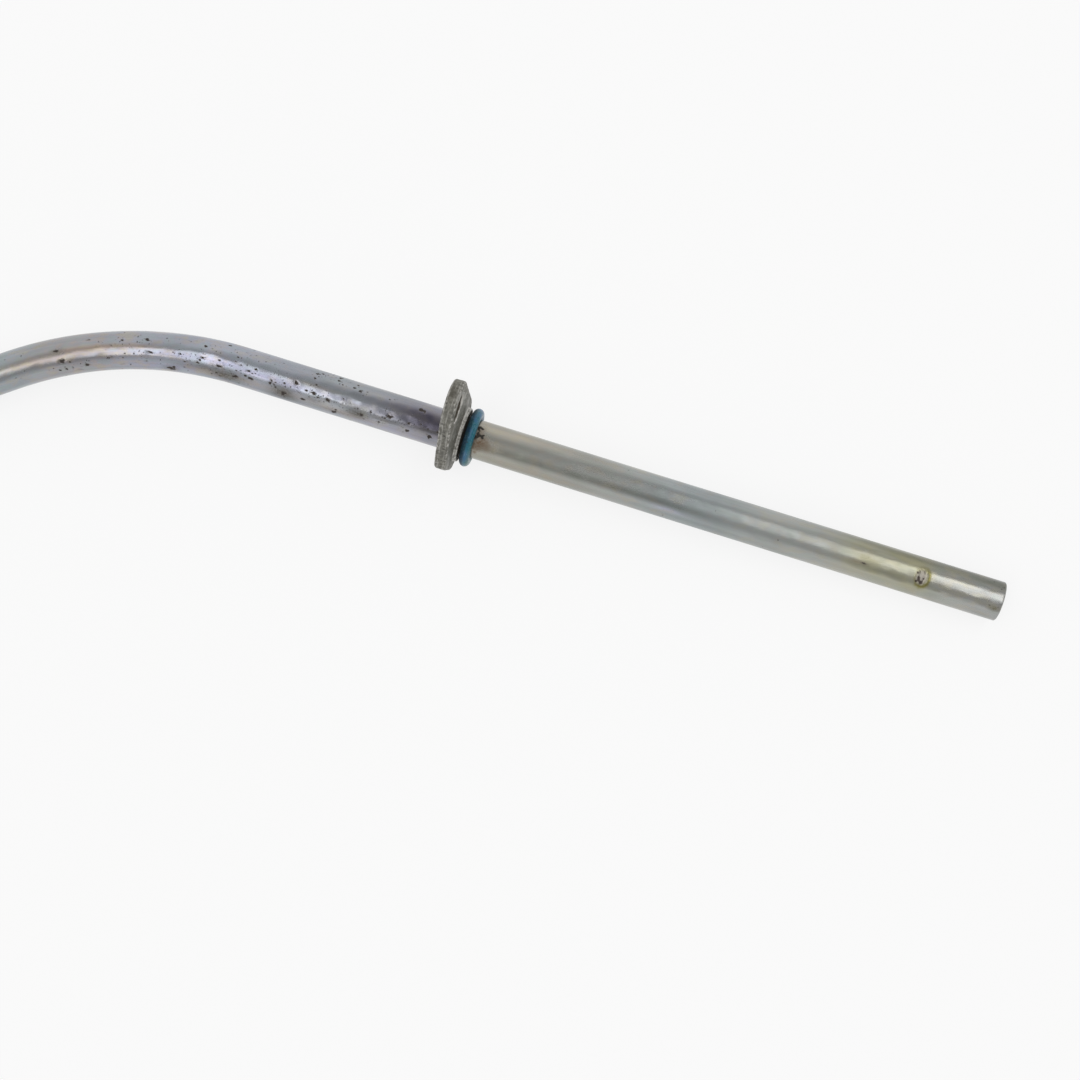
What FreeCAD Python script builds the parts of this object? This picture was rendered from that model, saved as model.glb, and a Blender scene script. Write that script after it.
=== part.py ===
import FreeCAD, Part
import math
import os
import Sketcher
from FreeCAD import Matrix, Placement, Rotation, Vector

os.makedirs("parts", exist_ok=True)

doc = FreeCAD.newDocument("dipstick_tube")
sheet = doc.addObject("Spreadsheet::Sheet", "sizes")

# Driving sizes, millimetres and degrees.
# The seat face of the flange is the plane x = 0, and the lower run lies along +x.
sizes = [
    ("tube_diameter", 10.0, "outside diameter of the guide tube"),
    ("wall", 1.0, "wall of the guide tube"),
    ("spigot_length", 141.0, "seat face to the lower end"),
    ("neck_length", 57.8, "seat face to the start of the bend"),
    ("bend_radius", 98.5, "centre line of the bend"),
    ("bend_angle", 36.0, "turn of the bend, degrees"),
    ("upper_run", 82.0, "end of the bend to the upper mouth"),
    ("bend_squeeze", 0.11, "loss of radius in the plane of the bend"),
    ("bend_swell", 0.06, "gain of radius across the plane of the bend"),
    ("end_round", 0.3, "rounding of the cut ends"),
    ("flange_thickness", 3.0, "plate of the flange"),
    ("hub_radius", 9.7, "plate round the tube"),
    ("shoulder_radius", 7.8, "lower shoulder of the plate"),
    ("shoulder_y", -2.0, "shoulder centre, sideways"),
    ("shoulder_z", 7.5, "shoulder centre, outward"),
    ("lobe_radius", 6.6, "plate round the bolt hole"),
    ("lobe_y", 5.9, "bolt hole centre, sideways"),
    ("lobe_z", 19.8, "bolt hole centre, outward"),
    ("edge_round", 0.6, "rounding of the plate's edges"),
    ("collar_diameter", 14.0, "raised register on the seat face"),
    ("collar_height", 1.1, "height of the register"),
    ("collar_round", 0.3, "rounding of the register"),
    ("bolt_hole", 7.0, "clearance hole for an M6 bolt"),
    ("bolt_chamfer", 0.5, "chamfer of the bolt hole"),
    ("ring_cord", 2.6, "thickness of the sealing ring"),
    ("ring_bite", 0.03, "how far the cord is pressed flat on the tube"),
    ("ring_offset", 2.95, "seat face to the middle of the sealing ring"),
]
value = {}
row = 1
for alias, number, note in sizes:
    sheet.set("A%d" % row, note)
    sheet.set("B%d" % row, str(number))
    sheet.setAlias("B%d" % row, alias)
    value[alias] = number
    row += 1
doc.recompute()


def make_body(label):
    """An empty body with its own label."""
    body = doc.addObject("PartDesign::Body", label)
    body.Label = label
    return body


def base_plane(body, role):
    """One of the body's own base planes."""
    for feature in body.Origin.OriginFeatures:
        if feature.Role == role:
            return feature
    raise RuntimeError("no plane " + role)


def make_sketch(body, name, role="YZ_Plane", offset=None):
    """A sketch on a base plane, moved by an expression when one is given."""
    sketch = body.newObject("Sketcher::SketchObject", name)
    sketch.AttachmentSupport = [(base_plane(body, role), "")]
    sketch.MapMode = "FlatFace"
    if offset:
        sketch.setExpression("AttachmentOffset", offset)
    return sketch


def bind(sketch, constraint, expression):
    """Adds a dimension to a sketch and binds it to the sheet."""
    index = sketch.addConstraint(constraint)
    sketch.setExpression("Constraints[%d]" % index, expression)
    return index


def circle(sketch, radius, expression):
    """A circle about the sketch's origin."""
    item = sketch.addGeometry(Part.Circle(Vector(0, 0, 0), Vector(0, 0, 1), radius), False)
    sketch.addConstraint(Sketcher.Constraint("Coincident", item, 3, -1, 1))
    bind(sketch, Sketcher.Constraint("Radius", item, radius), expression)
    return item


def oval(sketch, wide, narrow, wide_expression, narrow_expression):
    """An ellipse about the sketch's origin with its long axis along the sketch's x."""
    item = sketch.addGeometry(
        Part.Ellipse(Vector(wide, 0, 0), Vector(0, narrow, 0), Vector(0, 0, 0)), False
    )
    sketch.exposeInternalGeometry(item)
    sketch.addConstraint(Sketcher.Constraint("Coincident", item, 3, -1, 1))
    sketch.addConstraint(Sketcher.Constraint("Horizontal", item + 1))
    bind(sketch, Sketcher.Constraint("Distance", item + 1, 2 * wide), "2 * (%s)" % wide_expression)
    bind(sketch, Sketcher.Constraint("Distance", item + 2, 2 * narrow), "2 * (%s)" % narrow_expression)
    return item


def profile(sketch, points, expressions):
    """A closed straight-sided profile whose corners are all bound to the sheet."""
    count = len(points)
    for index in range(count):
        first = Vector(points[index][0], points[index][1], 0)
        last = Vector(points[(index + 1) % count][0], points[(index + 1) % count][1], 0)
        sketch.addGeometry(Part.LineSegment(first, last), False)
    for index in range(count):
        sketch.addConstraint(
            Sketcher.Constraint("Coincident", index, 2, (index + 1) % count, 1)
        )
    for index in range(count):
        across, upward = expressions[index]
        for kind, number, expression in (
            ("DistanceX", points[index][0], across),
            ("DistanceY", points[index][1], upward),
        ):
            if abs(number) < 1e-9 and expression == "0":
                axis = -2 if kind == "DistanceX" else -1
                sketch.addConstraint(Sketcher.Constraint("PointOnObject", index, 1, axis))
            else:
                bind(sketch, Sketcher.Constraint(kind, -1, 1, index, 1, number), expression)


def edges_at(shape, test):
    """Names of the edges whose every sampled point passes a test."""
    names = []
    for index, edge in enumerate(shape.Edges):
        if all(test(point) for point in edge.discretize(7)):
            names.append("Edge%d" % (index + 1))
    if not names:
        raise RuntimeError("no edge found")
    return names


# Guide tube: one bent tube, squeezed a little where it turns.
tube = make_body("guide_tube")
outer = value["tube_diameter"] / 2
inner = outer - value["wall"]
OUT = "sizes.tube_diameter / 2"
INN = "(sizes.tube_diameter / 2 - sizes.wall)"
STATIONS = 9
TURN = (
    "placement(vector(-sizes.neck_length - sizes.bend_radius * sin({a}); "
    "-sizes.bend_radius + sizes.bend_radius * cos({a}); 0); "
    "rotation(vector(0; 0; 1); {a})) * "
    "placement(vector(0; 0; 0); rotation(vector(0; 1; 0); -90))"
)


def bend_sections(letter, radius, expression):
    """The cross-sections of the bend, from its start to its end."""
    found = []
    for station in range(STATIONS):
        share = station / (STATIONS - 1)
        ease = math.sin(math.pi * share) ** 2
        angle = "(sizes.bend_angle * 1 deg * %.6f)" % share
        sketch = make_sketch(tube, "%s_section_%d" % (letter, station), "XY_Plane", TURN.format(a=angle))
        oval(
            sketch,
            radius + value["bend_swell"] * ease + 1e-4,
            radius - value["bend_squeeze"] * ease,
            "%s + sizes.bend_swell * %.6f + 0.0001" % (expression, ease),
            "%s - sizes.bend_squeeze * %.6f" % (expression, ease),
        )
        found.append(sketch)
    return found


outside = bend_sections("outer", outer, OUT)
doc.recompute()
bend = tube.newObject("PartDesign::AdditiveLoft", "bend")
bend.Profile = outside[0]
bend.Sections = outside[1:]
bend.Ruled = False
doc.recompute()
inside = bend_sections("bore", inner, INN)
doc.recompute()
bend_bore = tube.newObject("PartDesign::SubtractiveLoft", "bend_bore")
bend_bore.Profile = inside[0]
bend_bore.Sections = inside[1:]
bend_bore.Ruled = False
doc.recompute()


def run(name, start, end, offset, start_expression, end_expression):
    """A straight run of tube turned about the sketch's x axis, with a rounded free end."""
    sketch = make_sketch(tube, name + "_profile", "XY_Plane", offset)
    profile(
        sketch,
        [(start, inner), (end, inner), (end, outer), (start, outer)],
        [
            (start_expression, INN),
            (end_expression, INN),
            (end_expression, OUT),
            (start_expression, OUT),
        ],
    )
    doc.recompute()
    feature = tube.newObject("PartDesign::Revolution", name)
    feature.Profile = sketch
    feature.ReferenceAxis = (sketch, ["H_Axis"])
    feature.Angle = 360
    doc.recompute()
    return feature


UPPER = (
    "placement(vector(-sizes.neck_length - sizes.bend_radius * sin(sizes.bend_angle * 1 deg); "
    "-sizes.bend_radius + sizes.bend_radius * cos(sizes.bend_angle * 1 deg); 0); "
    "rotation(vector(0; 0; 1); sizes.bend_angle * 1 deg))"
)
run(
    "lower_run",
    -value["neck_length"],
    value["spigot_length"],
    None,
    "-sizes.neck_length",
    "sizes.spigot_length",
)
upper = run("upper_run_feature", -value["upper_run"], 0.0, UPPER, "-sizes.upper_run", "0")

# The cut ends are broken on both rims.
turn = math.radians(value["bend_angle"])
bend_end = Vector(
    -value["neck_length"] - value["bend_radius"] * math.sin(turn),
    -value["bend_radius"] + value["bend_radius"] * math.cos(turn),
    0,
)
upper_way = Vector(-math.cos(turn), -math.sin(turn), 0)
upper_mouth = bend_end + upper_way * value["upper_run"]


def on_a_cut_end(point):
    """True on the plane of either cut end."""
    if abs(point.x - value["spigot_length"]) < 1e-4:
        return True
    return abs((point - upper_mouth).dot(upper_way)) < 1e-4


rims = tube.newObject("PartDesign::Fillet", "cut_ends")
rims.Base = (upper, edges_at(upper.Shape, on_a_cut_end))
rims.setExpression("Radius", "sizes.end_round")
doc.recompute()

# Mounting flange: a thick plate with an ear for one bolt and a raised register for the seal.
flange = make_body("flange")
outline = make_sketch(flange, "outline")
hub = (0.0, 0.0, value["hub_radius"])
shoulder = (value["shoulder_y"], value["shoulder_z"], value["shoulder_radius"])
lobe = (value["lobe_y"], value["lobe_z"], value["lobe_radius"])


def tangent_points(one, two):
    """Where the outer tangent on the right-hand side of the way from one to two touches both."""
    span = math.hypot(two[0] - one[0], two[1] - one[1])
    way = math.atan2(two[1] - one[1], two[0] - one[0])
    lean = math.asin((one[2] - two[2]) / span)
    angle = way - math.pi / 2 + lean
    first = (one[0] + one[2] * math.cos(angle), one[1] + one[2] * math.sin(angle))
    second = (two[0] + two[2] * math.cos(angle), two[1] + two[2] * math.sin(angle))
    return first, second, angle


# Counter-clockwise round the plate: hub, lobe, shoulder, hub.
circles = [hub, lobe, shoulder]
names = [
    ("0", "0", "sizes.hub_radius"),
    ("sizes.lobe_y", "sizes.lobe_z", "sizes.lobe_radius"),
    ("sizes.shoulder_y", "sizes.shoulder_z", "sizes.shoulder_radius"),
]
sides = [tangent_points(circles[k], circles[(k + 1) % 3]) for k in range(3)]
arcs = []
lines = []
for k in range(3):
    start_angle = sides[k - 1][2]
    end_angle = sides[k][2]
    while end_angle < start_angle:
        end_angle += 2 * math.pi
    centre = Vector(circles[k][0], circles[k][1], 0)
    round_part = Part.Circle(centre, Vector(0, 0, 1), circles[k][2])
    arcs.append(outline.addGeometry(Part.ArcOfCircle(round_part, start_angle, end_angle), False))
for k in range(3):
    first, second, angle = sides[k]
    lines.append(
        outline.addGeometry(Part.LineSegment(Vector(*first, 0), Vector(*second, 0)), False)
    )
for k in range(3):
    outline.addConstraint(Sketcher.Constraint("Tangent", arcs[k], 2, lines[k], 1))
    outline.addConstraint(Sketcher.Constraint("Tangent", lines[k], 2, arcs[(k + 1) % 3], 1))
outline.addConstraint(Sketcher.Constraint("Coincident", arcs[0], 3, -1, 1))
for k in range(3):
    bind(outline, Sketcher.Constraint("Radius", arcs[k], circles[k][2]), names[k][2])
    if k:
        bind(outline, Sketcher.Constraint("DistanceX", -1, 1, arcs[k], 3, circles[k][0]), names[k][0])
        bind(outline, Sketcher.Constraint("DistanceY", -1, 1, arcs[k], 3, circles[k][1]), names[k][1])
doc.recompute()

plate = flange.newObject("PartDesign::Pad", "plate")
plate.Profile = outline
plate.Reversed = True
plate.setExpression("Length", "sizes.flange_thickness")
doc.recompute()


def on_a_plate_face(point):
    """True on the seat face or on the back of the plate."""
    return abs(point.x) < 1e-4 or abs(point.x + value["flange_thickness"]) < 1e-4


plate_edges = flange.newObject("PartDesign::Fillet", "plate_edges")
plate_edges.Base = (plate, edges_at(plate.Shape, on_a_plate_face))
plate_edges.setExpression("Radius", "sizes.edge_round")
doc.recompute()

collar_sketch = make_sketch(flange, "collar_circle")
circle(collar_sketch, value["collar_diameter"] / 2, "sizes.collar_diameter / 2")
collar = flange.newObject("PartDesign::Pad", "collar")
collar.Profile = collar_sketch
collar.setExpression("Length", "sizes.collar_height")
doc.recompute()


def on_the_collar(point):
    """True on the collar's rim and on its foot."""
    across = math.hypot(point.y, point.z)
    if abs(across - value["collar_diameter"] / 2) > 1e-4:
        return False
    return abs(point.x - value["collar_height"]) < 1e-4 or abs(point.x) < 1e-4


collar_edges = flange.newObject("PartDesign::Fillet", "collar_edges")
collar_edges.Base = (collar, edges_at(collar.Shape, on_the_collar))
collar_edges.setExpression("Radius", "sizes.collar_round")
doc.recompute()

tube_hole_sketch = make_sketch(
    flange, "tube_hole_circle", "YZ_Plane", "placement(vector(0; 0; sizes.collar_height); rotation(0; 0; 0))"
)
circle(tube_hole_sketch, outer, OUT)
tube_hole = flange.newObject("PartDesign::Pocket", "tube_hole")
tube_hole.Profile = tube_hole_sketch
tube_hole.Type = "ThroughAll"
doc.recompute()

bolt_sketch = make_sketch(flange, "bolt_hole_circle")
bolt_circle = bolt_sketch.addGeometry(
    Part.Circle(Vector(lobe[0], lobe[1], 0), Vector(0, 0, 1), value["bolt_hole"] / 2), False
)
bind(bolt_sketch, Sketcher.Constraint("Radius", bolt_circle, value["bolt_hole"] / 2), "sizes.bolt_hole / 2")
bind(bolt_sketch, Sketcher.Constraint("DistanceX", -1, 1, bolt_circle, 3, lobe[0]), "sizes.lobe_y")
bind(bolt_sketch, Sketcher.Constraint("DistanceY", -1, 1, bolt_circle, 3, lobe[1]), "sizes.lobe_z")
bolt_hole = flange.newObject("PartDesign::Pocket", "bolt_hole_cut")
bolt_hole.Profile = bolt_sketch
bolt_hole.Type = "ThroughAll"
doc.recompute()


def on_the_bolt_hole(point):
    """True on either rim of the bolt hole."""
    across = math.hypot(point.y - lobe[0], point.z - lobe[1])
    return abs(across - value["bolt_hole"] / 2) < 1e-4


bolt_rims = flange.newObject("PartDesign::Chamfer", "bolt_rims")
bolt_rims.Base = (
    bolt_hole,
    edges_at(bolt_hole.Shape, lambda point: on_the_bolt_hole(point) and on_a_plate_face(point)),
)
bolt_rims.setExpression("Size", "sizes.bolt_chamfer")
doc.recompute()

# Sealing ring: a round cord whose inner side is pressed flat on the tube.
ring = make_body("sealing_ring")
cord = value["ring_cord"] / 2
reach = outer + cord - value["ring_bite"]
ring_sketch = make_sketch(ring, "cord_section", "XY_Plane")
half_flat = math.sqrt(cord**2 - (cord - value["ring_bite"]) ** 2)
low = math.atan2(outer - reach, half_flat)
cord_arc = ring_sketch.addGeometry(
    Part.ArcOfCircle(
        Part.Circle(Vector(value["ring_offset"], reach, 0), Vector(0, 0, 1), cord), low, math.pi - low
    ),
    False,
)
flat = ring_sketch.addGeometry(
    Part.LineSegment(
        Vector(value["ring_offset"] - half_flat, outer, 0), Vector(value["ring_offset"] + half_flat, outer, 0)
    ),
    False,
)
ring_sketch.addConstraint(Sketcher.Constraint("Coincident", cord_arc, 2, flat, 1))
ring_sketch.addConstraint(Sketcher.Constraint("Coincident", flat, 2, cord_arc, 1))
ring_sketch.addConstraint(Sketcher.Constraint("Horizontal", flat))
bind(ring_sketch, Sketcher.Constraint("Radius", cord_arc, cord), "sizes.ring_cord / 2")
bind(ring_sketch, Sketcher.Constraint("DistanceX", -1, 1, cord_arc, 3, value["ring_offset"]), "sizes.ring_offset")
bind(
    ring_sketch,
    Sketcher.Constraint("DistanceY", -1, 1, cord_arc, 3, reach),
    "sizes.tube_diameter / 2 + sizes.ring_cord / 2 - sizes.ring_bite",
)
bind(ring_sketch, Sketcher.Constraint("DistanceY", -1, 1, flat, 1, outer), OUT)
doc.recompute()
ring_turn = ring.newObject("PartDesign::Revolution", "ring_turn")
ring_turn.Profile = ring_sketch
ring_turn.ReferenceAxis = (ring_sketch, ["H_Axis"])
ring_turn.Angle = 360
doc.recompute()

bodies = [tube, flange, ring]


# The part lies on a flat surface on three points: the hub's rim, the lower end and the upper mouth.
def lowest(centre, way, radius, rounding, down):
    """The lowest point of a rounded disc edge with its axis along way."""
    side = down - way * down.dot(way)
    side.normalize()
    return centre + side * (radius - rounding) + down * rounding


up = Vector(0, 0, 1)
along = Vector(1, 0, 0)
for _ in range(40):
    down = up * -1
    hub_touch = lowest(
        Vector(-value["edge_round"], 0, 0), along, value["hub_radius"], value["edge_round"], down
    )
    low_touch = lowest(
        Vector(value["spigot_length"] - value["end_round"], 0, 0), along, outer, value["end_round"], down
    )
    top_touch = lowest(
        upper_mouth - upper_way * value["end_round"], upper_way, outer, value["end_round"], down
    )
    up = (low_touch - hub_touch).cross(top_touch - hub_touch) * -1
    if up.z < 0:
        up = up * -1
    up.normalize()
ahead = along - up * along.dot(up)
ahead.normalize()
left = up.cross(ahead)
turn_matrix = Matrix(
    ahead.x, ahead.y, ahead.z, 0,
    left.x, left.y, left.z, 0,
    up.x, up.y, up.z, 0,
    0, 0, 0, 1,
)
laid = Placement(turn_matrix)
whole = Part.makeCompound([body.Shape for body in bodies])
turned = whole.copy()
turned.Placement = laid.multiply(whole.Placement)
box = turned.optimalBoundingBox(False, False)
middle = Vector((box.XMin + box.XMax) / 2, (box.YMin + box.YMax) / 2, box.ZMin)
laid.Base = middle * -1
for body in bodies:
    body.Placement = laid
doc.recompute()

for item in doc.Objects:
    if "Invalid" in item.State or "Error" in item.State:
        raise RuntimeError("bad feature " + item.Name)
for body in bodies:
    shape = body.Shape
    if shape.isNull() or not shape.isValid() or len(shape.Solids) != 1:
        raise RuntimeError("bad shape " + body.Label)
    shape.exportStep("parts/%s.step" % body.Label)
    print(body.Label, "volume", round(shape.Volume, 2), "faces", len(shape.Faces))
print("box", [round(number, 4) for number in (box.XLength, box.YLength, box.ZLength)])
for label, point in (("hub", hub_touch), ("low", low_touch), ("top", top_touch)):
    print("touch", label, laid.multVec(point))
print("seat centre", laid.multVec(Vector(0, 0, 0)), "along", laid.Rotation.multVec(along))
print("upper mouth", laid.multVec(upper_mouth), "way", laid.Rotation.multVec(upper_way))
print("lower mouth", laid.multVec(Vector(value["spigot_length"], 0, 0)))
print("bolt", laid.multVec(Vector(0, value["lobe_y"], value["lobe_z"])))
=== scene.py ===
"""A worn oil dipstick tube with its flange and sealing ring, laid on a pale studio floor."""

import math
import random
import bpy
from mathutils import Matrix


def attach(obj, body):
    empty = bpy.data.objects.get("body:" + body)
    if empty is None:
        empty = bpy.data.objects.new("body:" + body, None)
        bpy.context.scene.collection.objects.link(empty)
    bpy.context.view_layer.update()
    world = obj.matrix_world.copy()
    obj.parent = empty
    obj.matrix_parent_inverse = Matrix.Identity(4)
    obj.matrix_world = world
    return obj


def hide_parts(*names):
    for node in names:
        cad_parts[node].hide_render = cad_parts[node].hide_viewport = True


bl_info = {
    "name": "Oil Dipstick Tube",
    "version": (1, 0, 0),
    "blender": (4, 5, 0),
    "location": "3D View > Sidebar > Dipstick Tube",
    "description": "Builds a worn, zinc plated dipstick tube with its flange and sealing ring",
    "category": "Object",
}

import bmesh
import bpy
from mathutils import Matrix, Vector, noise

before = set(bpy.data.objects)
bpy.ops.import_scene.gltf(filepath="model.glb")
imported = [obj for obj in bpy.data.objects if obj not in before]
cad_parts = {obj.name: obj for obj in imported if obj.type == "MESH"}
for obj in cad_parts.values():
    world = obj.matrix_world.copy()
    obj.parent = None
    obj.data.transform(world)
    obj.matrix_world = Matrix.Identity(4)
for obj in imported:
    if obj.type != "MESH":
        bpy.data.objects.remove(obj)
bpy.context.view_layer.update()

MM = 0.001

# Where the tube and the flange's seat face lie: along the lower run is +X of the seat,
# +Z is the tube's upper side as it lies and +Y the outer side of its bend.
SEAT = (
    Matrix.Translation((0.02200828, 0.03019711, 0.00967502))
    @ Matrix.Rotation(math.radians(1.905169), 4, "Y")
    @ Matrix.Rotation(math.radians(9.243406), 4, "X")
)

# Stretches of the tube in mm from the seat face, and how far apart its rings are there.
# The rusted stretch, the smeared one beside the ring and the crater near the end are finer.
OUTER_RINGS = (
    (-122.0, 2.5),
    (-106.5, 0.8),
    (-103.0, 0.35),
    (-78.0, 0.7),
    (-1.0, 0.27),
    (4.2, 1.0),
    (9.0, 0.2),
    (116.5, 2.2),
    (123.6, 0.2),
    (140.2, 1.0),
)
BORE_RINGS = ((-120.0, 6.0), (-57.0, 2.0), (140.2, 7.0))

# Rust pits that stand out: place along the tube in mm, angle round it in degrees,
# radius and depth in mm.
PITS = (
    (-105.5, 13, 0.55, 0.04),
    (-104.3, -20, 0.60, 0.10),
    (-104.0, -48, 0.40, 0.05),
    (-98.2, -44, 0.60, 0.05),
    (-97.1, 34, 0.35, 0.05),
    (-91.4, -24, 0.35, 0.05),
    (-88.7, -50, 0.35, 0.05),
    (-82.2, 28, 0.50, 0.05),
    (-80.9, -8, 0.50, 0.08),
    (-75.7, -57, 0.90, 0.05),
    (-67.4, -5, 0.35, 0.06),
    (-63.0, -18, 0.45, 0.09),
    (-58.4, -38, 0.60, 0.10),
    (-55.5, -8, 0.40, 0.08),
    (-54.3, -29, 0.50, 0.11),
    (-49.3, -23, 0.35, 0.06),
    (-45.6, -42, 0.70, 0.07),
    (-42.7, 1, 0.55, 0.10),
    (-40.5, -43, 0.50, 0.06),
    (-38.6, 50, 0.45, 0.07),
    (-38.1, -13, 0.60, 0.09),
    (-34.0, -20, 0.45, 0.06),
    (-32.9, 66, 0.45, 0.06),
    (-32.0, -56, 0.60, 0.05),
    (-25.0, -34, 0.60, 0.06),
    (-17.7, -13, 0.55, 0.08),
    (-12.7, -40, 0.45, 0.08),
    (-10.6, 36, 0.75, 0.11),
    (-6.9, -37, 0.70, 0.10),
    (105.0, -9, 0.55, 0.05),
    (82.5, 60, 0.25, 0.04),
)

# Patches where rust specks crowd: place, angle, spread along in mm, spread round in
# degrees, and how thick the specks are.
RUST_PATCHES = (
    (-100.0, -35, 6.0, 25, 0.22),
    (-82.0, -20, 6.0, 40, 0.22),
    (-69.5, -14, 3.6, 17, 0.60),
    (-62.0, -30, 4.5, 20, 0.65),
    (-54.5, -20, 3.0, 22, 0.30),
    (-46.0, -8, 4.0, 24, 0.52),
    (-38.0, -5, 3.6, 22, 0.50),
    (-32.0, -24, 4.0, 18, 0.60),
    (-20.0, -26, 6.0, 20, 0.35),
    (-36.0, 55, 6.0, 18, 0.35),
    (-60.0, 30, 14.0, 25, 0.22),
    (-88.0, 20, 12.0, 20, 0.18),
    (-26.0, 40, 8.0, 20, 0.25),
    (-12.0, -8, 5.0, 16, 0.25),
    (138.0, -12, 2.0, 9, 0.45),
    (139.8, 50, 1.0, 20, 0.70),
    (127.0, -6, 3.0, 6, 0.20),
    (-40.0, 175, 26.0, 45, 0.45),
    (-66.0, 120, 16.0, 30, 0.35),
)

# Olive brown smudges: place, angle, spread along, spread round, strength.
SMUDGES = (
    (-76.0, -56, 2.2, 9, 0.60),
    (-61.0, -42, 4.6, 20, 1.00),
    (-66.5, -30, 3.4, 9, 0.55),
    (-45.5, -43, 3.4, 26, 1.00),
    (-38.0, -34, 2.4, 9, 0.45),
    (-26.0, -34, 3.0, 16, 1.00),
    (-18.5, -28, 4.0, 6, 0.60),
    (-32.0, -50, 4.0, 6, 0.35),
    (-104.6, 10, 1.8, 10, 0.45),
    (-7.0, -19, 6.5, 6, 0.65),
    (7.4, -14, 1.2, 14, 0.45),
    (5.6, -9, 2.5, 16, 1.00),
    (6.6, 3, 1.2, 12, 0.60),
    (5.0, -26, 1.6, 9, 0.80),
    (5.1, -41, 0.4, 4, 1.00),
    (5.2, 26, 1.3, 16, 0.55),
    (139.2, -24, 1.5, 9, 1.00),
    (124.5, -24, 1.2, 5, 0.55),
    (104.2, -12, 1.8, 6, 0.60),
    (-50.0, 160, 12.0, 25, 0.5),
)

# Dried grease beside the sealing ring, as blobs and smears of (place, angle) and a width.
GREASE = (
    (((4.4, 34), (4.6, 37)), 0.62),
    (((4.6, 37), (5.1, 38)), 0.36),
    (((5.1, 37), (5.5, 35)), 0.50),
    (((4.5, 31), (4.8, 24)), 0.36),
    (((4.7, 19), (4.8, 14)), 0.50),
    (((4.9, 13), (4.4, 4)), 0.62),
    (((4.9, 13), (5.5, 12)), 0.50),
    (((5.5, 12), (6.1, 8)), 0.42),
    (((6.0, 15), (6.2, 16)), 0.30),
)

# Patches where the plating is painted darker: place, angle, spreads, strength. Beside the flange they are
# painted shade of the flange on the tube, tinted violet; along the lower run some are painted darker bands of
# reflection, and the rest darken the plating in patches.
DULL_AND_SHADE_PATCHES = (
    (-8.5, 16, 7.0, 26, 1.0),
    (-5.0, 0, 5.5, 32, 0.85),
    (-14.0, 25, 8.0, 14, 0.55),
    (-28.0, 24, 12.0, 12, 0.35),
    (-9.0, -8, 8.0, 14, 0.90),
    (-19.5, -12, 6.0, 15, 0.50),
    (-98.0, -8, 12.0, 15, 0.35),
    (-112.0, -3, 9.0, 16, 0.40),
    (-97.0, -32, 13.0, 13, 0.30),
    (-71.0, -38, 6.0, 12, 0.38),
    (14.0, -16, 15.0, 12, 0.60),
    (34.0, -15, 14.0, 9, 0.40),
    (52.0, -15, 13.0, 9, 0.48),
    (130.0, 64, 14.0, 22, 0.85),
    (118.0, 52, 10.0, 14, 0.75),
    (107.0, 58, 9.0, 16, 0.50),
    (112.0, -22, 10.0, 9, 0.40),
    (139.5, 52, 2.2, 20, 0.90),
    (136.5, 47, 6.0, 13, 1.00),
    (129.0, 46, 9.0, 13, 0.55),
    (109.0, 36, 14.0, 7, 0.35),
)

# Thin warm and lilac tints left by heat and chromate: place, angle, spreads, strength. The lilac tint is
# brighter than the plating and mostly lies along the lamp's highlight, so it is partly painted highlight.
WARM_PATCHES = (
    (-100.0, 9, 6.0, 8, 0.85),
    (-91.0, 8, 8.0, 7, 1.00),
    (-83.0, 7, 6.0, 6, 0.70),
    (-114.0, -4, 11.0, 14, 0.80),
    (-48.0, -42, 9.0, 12, 0.50),
    (-30.0, -46, 9.0, 10, 0.55),
    (-64.0, -44, 7.0, 10, 0.60),
    (-38.0, 8, 5.0, 6, 0.50),
    (20.0, 50, 14.0, 16, 0.35),
    (20.0, -52, 14.0, 16, 0.35),
    (-60.0, 150, 30.0, 30, 0.50),
)
LILAC_AND_HIGHLIGHT_PATCHES = (
    (-74.0, -8, 7.0, 9, 0.70),
    (-62.0, -6, 5.0, 9, 0.90),
    (-52.0, -9, 6.0, 10, 1.00),
    (-44.0, -12, 5.0, 10, 0.80),
    (-33.0, -6, 6.0, 8, 0.60),
    (-24.0, -2, 8.0, 8, 0.15),
    (-78.0, -50, 8.0, 12, 0.55),
    (-20.0, -55, 12.0, 14, 0.40),
    (55.6, -33, 3.6, 7, 1.00),
    (-55.0, 100, 30.0, 25, 0.40),
)


class TubeSizes(bpy.types.PropertyGroup):
    diameter: bpy.props.FloatProperty(
        name="Diameter", description="Outer diameter", default=0.010, unit="LENGTH"
    )
    wall: bpy.props.FloatProperty(
        name="Wall", description="Wall thickness", default=0.001, unit="LENGTH"
    )
    spigot: bpy.props.FloatProperty(
        name="Lower run",
        description="Seat face to the squared lower end",
        default=0.141,
        unit="LENGTH",
    )
    neck: bpy.props.FloatProperty(
        name="Neck",
        description="Straight stretch from the seat face up to the bend",
        default=0.0578,
        unit="LENGTH",
    )
    bend_radius: bpy.props.FloatProperty(
        name="Bend radius", description="To the middle of the tube", default=0.0985, unit="LENGTH"
    )
    bend_angle: bpy.props.FloatProperty(
        name="Bend angle",
        description="Turn between the two runs",
        default=math.radians(36.0),
        subtype="ANGLE",
        unit="ROTATION",
    )
    upper_run: bpy.props.FloatProperty(
        name="Upper run", description="Straight stretch past the bend", default=0.082, unit="LENGTH"
    )
    squeeze: bpy.props.FloatProperty(
        name="Squeeze",
        description="Radius lost in the plane of the bend, half way round it",
        default=0.00011,
        unit="LENGTH",
    )
    swell: bpy.props.FloatProperty(
        name="Swell",
        description="Radius gained across the bend, half way round it",
        default=0.00006,
        unit="LENGTH",
    )
    cut_round: bpy.props.FloatProperty(
        name="End rounding", description="Rounding of the cut ends", default=0.0003, unit="LENGTH"
    )
    facets: bpy.props.IntProperty(
        name="Facets", description="Faces round the tube", default=128, min=24, max=160
    )


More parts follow.
